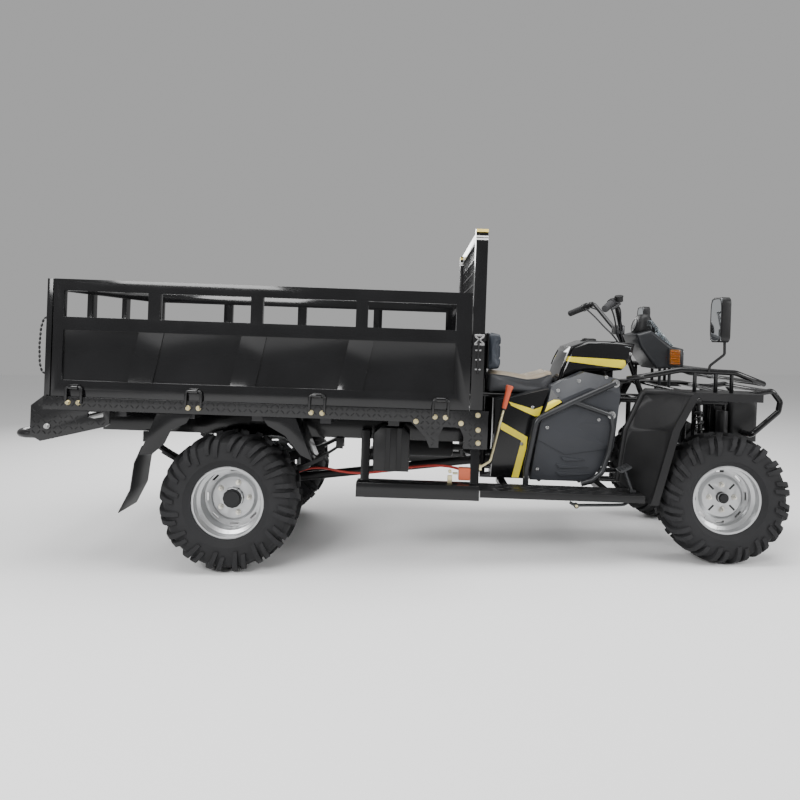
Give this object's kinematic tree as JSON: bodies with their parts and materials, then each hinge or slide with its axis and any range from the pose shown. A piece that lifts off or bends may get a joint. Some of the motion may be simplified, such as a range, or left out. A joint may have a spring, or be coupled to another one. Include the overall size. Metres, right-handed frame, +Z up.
{
  "type": "four-wheeled cargo motorcycle",
  "caption": "Handlebar-steered cargo vehicle with a straddle seat, independent front wheels and a drop-sided cargo bed with a tall headboard.",
  "frame": {"origin": "on the ground under the middle of the overall box", "axes": "+X forward, +Y to the rider's left, +Z up"},
  "size_m": [3.643, 1.2316, 1.5582],
  "materials": {
    "tyre_rubber": "blocky matt tread",
    "rim_silver": "satin silver",
    "black_paint": "gloss black",
    "grey_plastic": "fine grain",
    "black_plastic": "satin",
    "engine_metal": "cast",
    "exhaust_metal": "dull",
    "rubber": "matt",
    "seat_vinyl": "grained",
    "backrest_vinyl": "grained",
    "lamp_lens": "clear",
    "amber_lens": "clear amber",
    "red_lens": "clear red",
    "screen_glass": "smoked",
    "knob_orange": "smooth",
    "hose_red": "smooth",
    "shock_metal": "gloss",
    "control_metal": "anodised black"
  },
  "bodies": {
    "body": {"backrest": "backrest_vinyl", "battery_box": "black_plastic", "bed_floor": "black_paint", "brake_hose": "hose_red", "brake_pedal": "black_paint", "canister": "black_plastic", "chassis_frame": "black_paint", "cover_guards": "black_paint", "cradle": "black_paint", "deck_edges": "black_paint", "drive_shaft": "black_paint", "engine": "engine_metal", "exhaust": "exhaust_metal", "footboards": "black_paint", "front_arms": "black_paint", "front_bumper": "black_paint", "front_fenders": "black_plastic", "front_rack": "black_paint", "gear_knob": "knob_orange", "gear_lever": "black_paint", "headboard": "black_paint", "headlight": "lamp_lens", "leaf_springs": "black_paint", "lower_beams": "black_paint", "mirrors": "black_plastic", "mud_flaps": "rubber", "mudguards": "black_paint", "nacelle": "grey_plastic", "radiator_housing": "black_paint", "rear_axle": "black_paint", "rear_bumper": "black_paint", "rear_covers": "grey_plastic", "seat": "seat_vinyl", "shocks": "shock_metal", "side_covers": "grey_plastic", "switch_box": "black_plastic", "tail_lamps": "red_lens", "tank_cover": "grey_plastic", "turn_signals": "amber_lens", "windscreen": "screen_glass"},
    "wheel_rear_left": {"tyre_rear_left": "tyre_rubber", "rim_rear_left": "rim_silver"},
    "wheel_rear_right": {"tyre_rear_right": "tyre_rubber", "rim_rear_right": "rim_silver"},
    "wheel_front_left": {"tyre_front_left": "tyre_rubber", "rim_front_left": "rim_silver"},
    "wheel_front_right": {"tyre_front_right": "tyre_rubber", "rim_front_right": "rim_silver"},
    "steering": {"steering_column": "black_paint", "handlebar": "black_paint", "grips": "rubber", "controls": "control_metal"},
    "steer_knuckle_left": {"knuckle_left": "black_paint"},
    "steer_knuckle_right": {"knuckle_right": "black_paint"},
    "steer_rod_left": {"tie_rod_left": "black_paint"},
    "steer_rod_right": {"tie_rod_right": "black_paint"},
    "side_left": {"side_panel_left": "black_paint"},
    "side_right": {"side_panel_right": "black_paint"},
    "rear_gate": {"tailgate": "black_paint"}
  },
  "joints": [
    {"name": "rear_left_spin", "type": "hinge", "parent": "body", "child": "wheel_rear_left", "pos_m": [-0.85792, 0.47, 0.3175], "axis": [0, 1, 0], "continuous": true},
    {"name": "rear_right_spin", "type": "hinge", "parent": "body", "child": "wheel_rear_right", "pos_m": [-0.85792, -0.47, 0.3175], "axis": [0, 1, 0], "continuous": true},
    {"name": "steer", "type": "hinge", "parent": "body", "child": "steering", "pos_m": [1.0763, 0, 1.10118], "axis": [-0.3415, 0, 0.9399], "range_deg": [-40, 40]},
    {"name": "knuckle_left_turn", "type": "hinge", "parent": "body", "child": "steer_knuckle_left", "pos_m": [1.44408, 0.33, 0.305], "axis": [0, 0, 1], "range_deg": [-30, 30]},
    {"name": "front_left_spin", "type": "hinge", "parent": "steer_knuckle_left", "child": "wheel_front_left", "pos_m": [1.44408, 0.3875, 0.305], "axis": [0, 1, 0], "continuous": true},
    {"name": "rod_left_turn", "type": "hinge", "parent": "steering", "child": "steer_rod_left", "pos_m": [1.23874, 0.022, 0.40233], "axis": [-0.3415, 0, 0.9399], "range_deg": [-44, 44]},
    {"name": "knuckle_right_turn", "type": "hinge", "parent": "body", "child": "steer_knuckle_right", "pos_m": [1.44408, -0.33, 0.305], "axis": [0, 0, 1], "range_deg": [-30, 30]},
    {"name": "front_right_spin", "type": "hinge", "parent": "steer_knuckle_right", "child": "wheel_front_right", "pos_m": [1.44408, -0.3875, 0.305], "axis": [0, 1, 0], "continuous": true},
    {"name": "rod_right_turn", "type": "hinge", "parent": "steering", "child": "steer_rod_right", "pos_m": [1.23874, -0.022, 0.40233], "axis": [-0.3415, 0, 0.9399], "range_deg": [-44, 44]},
    {"name": "side_left_drop", "type": "hinge", "parent": "body", "child": "side_left", "pos_m": [-0.82887, 0.6045, 0.81949], "axis": [-0.9994, 0, 0.0354], "range_deg": [0, 170]},
    {"name": "side_right_drop", "type": "hinge", "parent": "body", "child": "side_right", "pos_m": [-0.82887, -0.6045, 0.81949], "axis": [0.9994, 0, -0.0354], "range_deg": [0, 170]},
    {"name": "tailgate_drop", "type": "hinge", "parent": "body", "child": "rear_gate", "pos_m": [-1.68633, 0, 0.82186], "axis": [0, -1, 0], "range_deg": [0, 90]}
  ],
  "couplings": [
    {"joint": "knuckle_left_turn", "follows": "steer", "ratio": 0.75},
    {"joint": "knuckle_right_turn", "follows": "steer", "ratio": 0.75},
    {"joint": "rod_left_turn", "follows": "steer", "ratio": -1.095},
    {"joint": "rod_right_turn", "follows": "steer", "ratio": -1.095}
  ]
}
